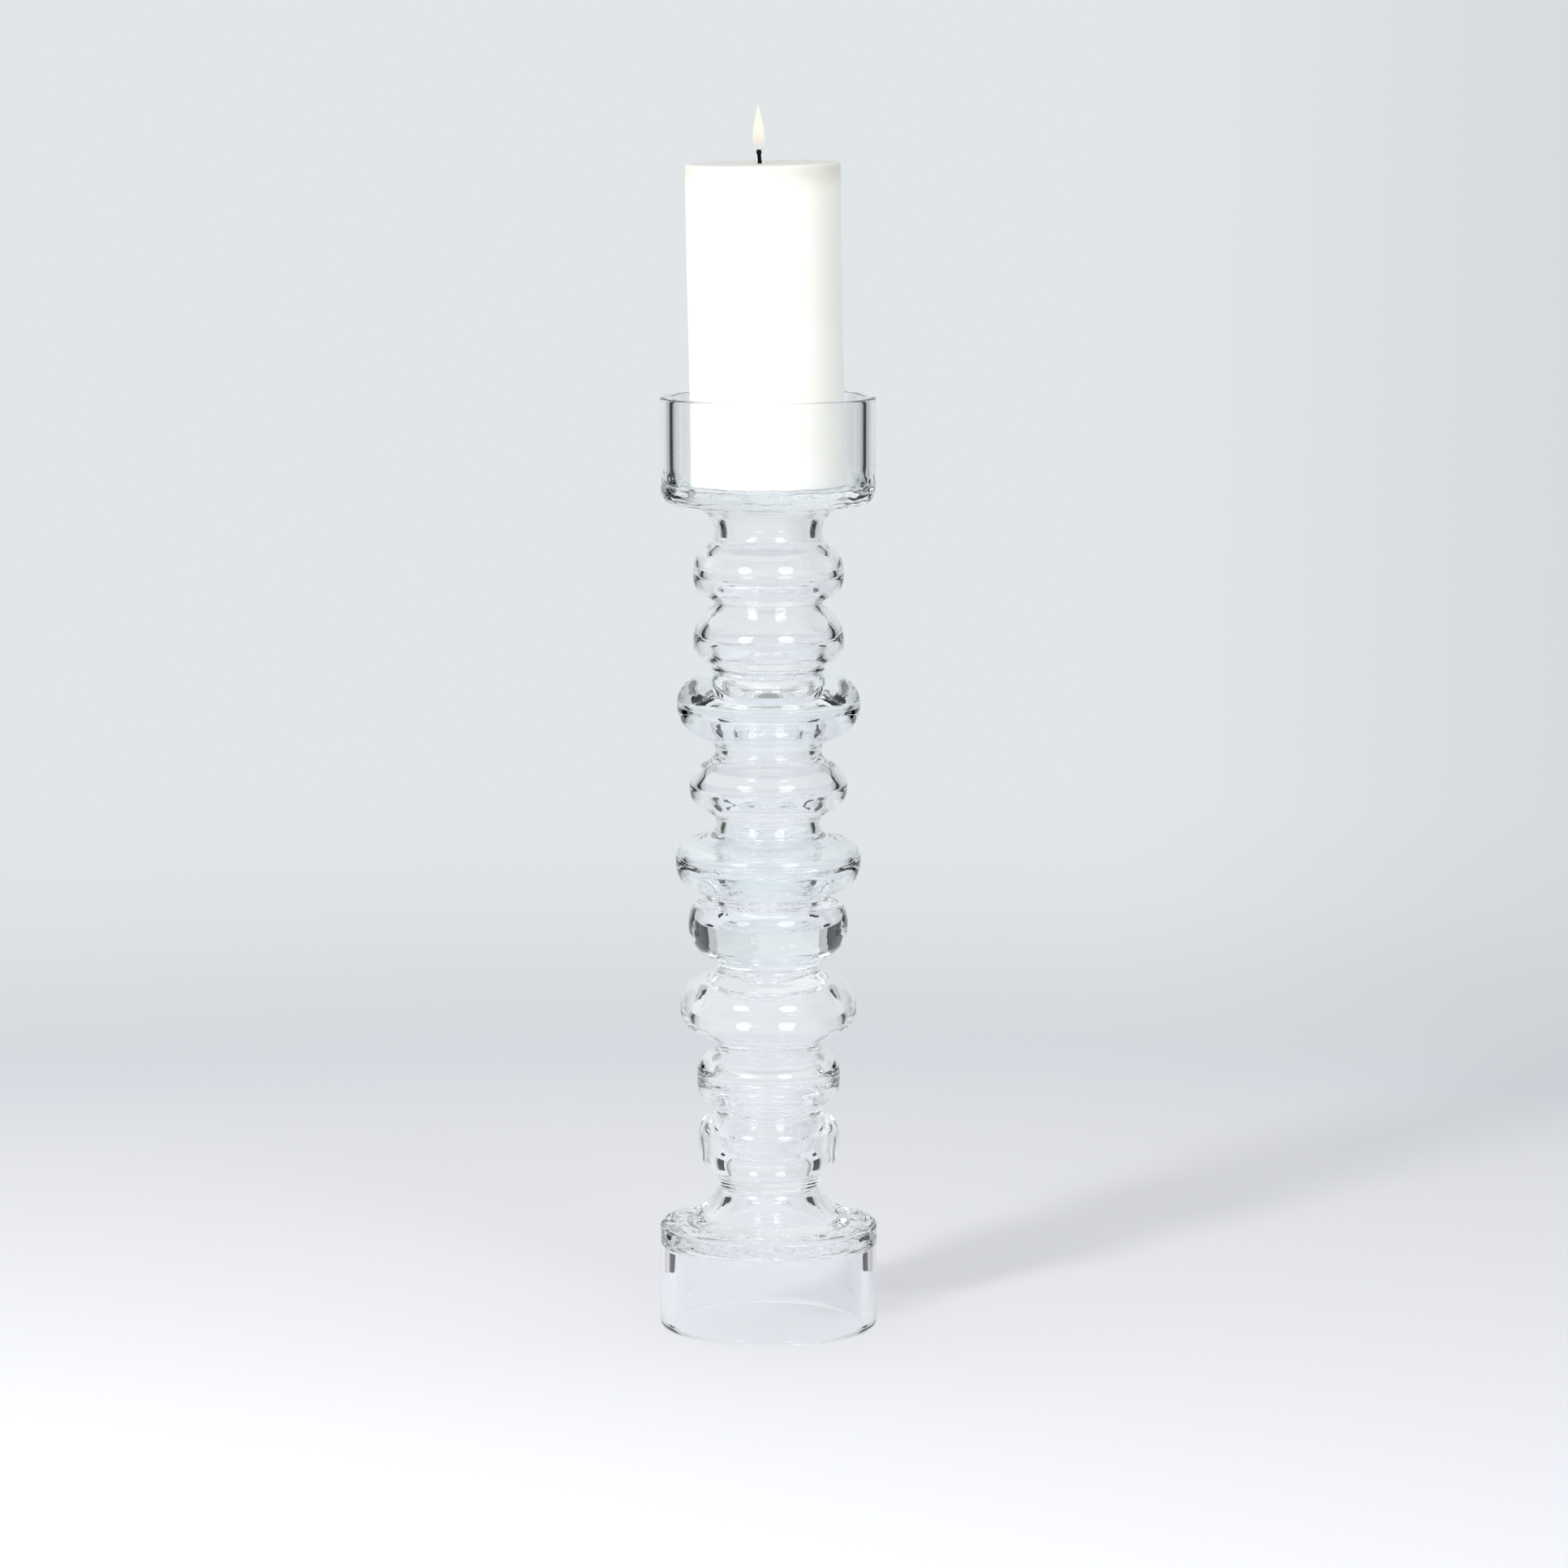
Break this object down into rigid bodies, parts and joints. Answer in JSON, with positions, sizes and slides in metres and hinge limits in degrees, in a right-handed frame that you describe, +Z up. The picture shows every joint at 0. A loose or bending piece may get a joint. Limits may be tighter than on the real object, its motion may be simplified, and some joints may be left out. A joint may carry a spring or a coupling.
{
  "type": "pillar candle holder",
  "caption": "Tall clear glass candle holder: turned stem of fused beads and discs between an open base cup and a shallow cup with a pillar candle.",
  "frame": {"origin": "on the table under the middle of the base", "axes": "+Z up along the stem, +X to the right of a viewer at the front, who stands on the -Y side"},
  "size_m": [0.1058, 0.1058, 0.5751],
  "materials": {
    "clear_glass": "clear soda-lime glass, fire-polished, faint blue-green where thick",
    "white_wax": "smooth satin wax that lets some light in",
    "charred_wick": "braided cotton, burnt black above the wax",
    "tinned_steel": "thin pressed tinplate",
    "flame": "pale yellow-white candle flame"
  },
  "bodies": {
    "holder": {"candle_cup": "clear_glass", "cup_neck": "clear_glass", "bead_1": "clear_glass", "bead_2": "clear_glass", "upper_disc": "clear_glass", "bead_3": "clear_glass", "lower_disc": "clear_glass", "stub_neck": "clear_glass", "solid_ring": "clear_glass", "flat_bead": "clear_glass", "bead_4": "clear_glass", "thick_bead": "clear_glass", "foot_flare": "clear_glass", "base_cup": "clear_glass"},
    "candle": {"candle": "white_wax", "wick": "charred_wick", "wick_tab": "tinned_steel"}
  },
  "joints": [
    {"name": "candle_lift", "type": "slide", "parent": "holder", "child": "candle", "axis": [0, 0, 1], "range_m": [0, 0.06]}
  ]
}
